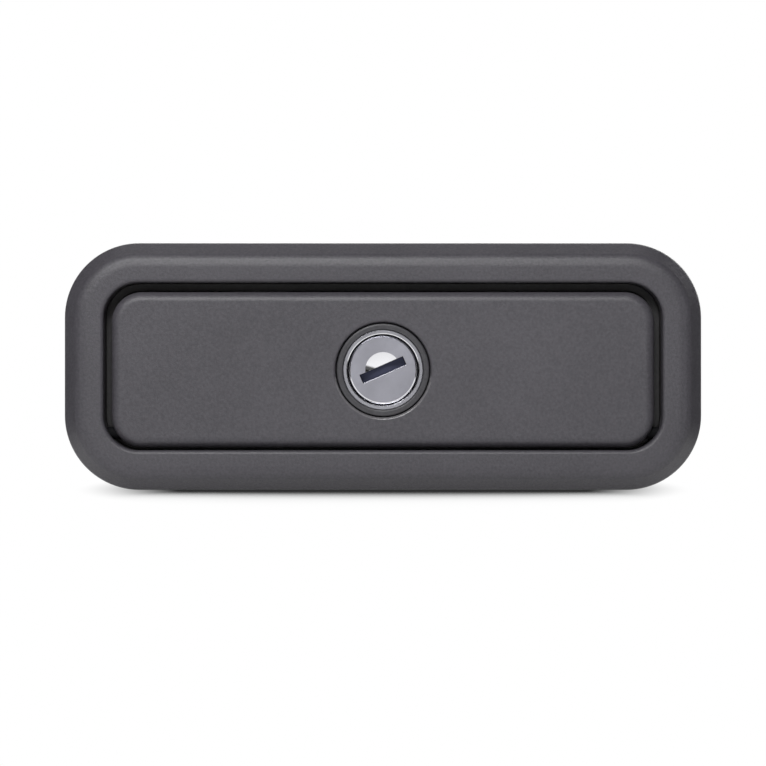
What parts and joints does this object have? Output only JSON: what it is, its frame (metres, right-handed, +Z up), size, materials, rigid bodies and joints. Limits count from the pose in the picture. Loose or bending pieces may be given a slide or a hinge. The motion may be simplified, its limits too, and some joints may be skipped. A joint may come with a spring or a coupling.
{
  "type": "compression lock",
  "caption": "Flush-mount compression lock: a rounded bezel with a keyed pull flap that drives hooked claws behind the door to draw in a striker bar.",
  "frame": {"origin": "middle of the door's cut-out, on the door's outer skin", "axes": "+X along the lock, +Y into the door, +Z up"},
  "size_m": [0.13, 0.054, 0.0504],
  "materials": {
    "charcoal_moulding": "fine-grained satin",
    "dark_collar": "satin",
    "black_moulding": "satin moulded",
    "gasket_foam": "matte closed-cell foam",
    "buffer_rubber": "matte",
    "black_steel": "black oxide",
    "zinc_plated_screw": "zinc plated",
    "zinc_plated_sheet": "zinc plated sheet",
    "hardened_claw": "tumbled and plated",
    "bare_steel": "turned",
    "spring_wire": "drawn wire",
    "bright_shell": "bright nickel",
    "satin_plug": "satin nickel",
    "brass_wafer": "stamped"
  },
  "bodies": {
    "housing": {"bezel_frame": "charcoal_moulding", "rear_pan": "black_moulding", "gap_frame": "black_moulding", "bezel_screws": "zinc_plated_screw", "flange_gasket": "gasket_foam", "hinge_pin": "black_steel", "flap_buffers": "buffer_rubber", "rear_plate": "zinc_plated_sheet", "plate_screws": "zinc_plated_screw", "claw_shaft": "bare_steel", "shaft_clips": "bare_steel", "shaft_sleeves": "bare_steel", "kick_springs": "spring_wire"},
    "flap": {"flap": "charcoal_moulding", "drive_bracket": "zinc_plated_sheet", "bracket_screws": "zinc_plated_screw", "lock_collar": "dark_collar", "lock_barrel": "bright_shell", "lock_nut": "zinc_plated_sheet", "front_link_pins": "bare_steel"},
    "plug": {"lock_plug": "satin_plug", "dust_shutter": "bare_steel", "wafer_tumblers": "brass_wafer", "tail_cam": "zinc_plated_sheet", "cam_screw": "zinc_plated_screw"},
    "links": {"left_link": "zinc_plated_sheet", "right_link": "zinc_plated_sheet"},
    "claws": {"left_claw": "hardened_claw", "right_claw": "hardened_claw", "rear_link_pins": "bare_steel"}
  },
  "joints": [
    {"name": "flap_swing", "type": "hinge", "parent": "housing", "child": "flap", "pos_m": [0, -0.0048, -0.01355], "axis": [1, 0, 0], "range_deg": [0, 55], "deforming": ["kick_springs"]},
    {"name": "key_turn", "type": "hinge", "parent": "flap", "child": "plug", "pos_m": [0, -0.0077, -0.0007], "axis": [0, -1, 0], "range_deg": [0, 90]},
    {"name": "link_swing", "type": "hinge", "parent": "flap", "child": "links", "pos_m": [0, -0.0007, -0.00227], "axis": [1, 0, 0], "range_deg": [-55, 0]},
    {"name": "claw_swing", "type": "hinge", "parent": "housing", "child": "claws", "pos_m": [0, 0.028, -0.005], "axis": [1, 0, 0], "range_deg": [0, 55]}
  ],
  "couplings": [
    {"joint": "link_swing", "follows": "flap_swing", "ratio": -1},
    {"joint": "claw_swing", "follows": "flap_swing", "ratio": 1}
  ]
}
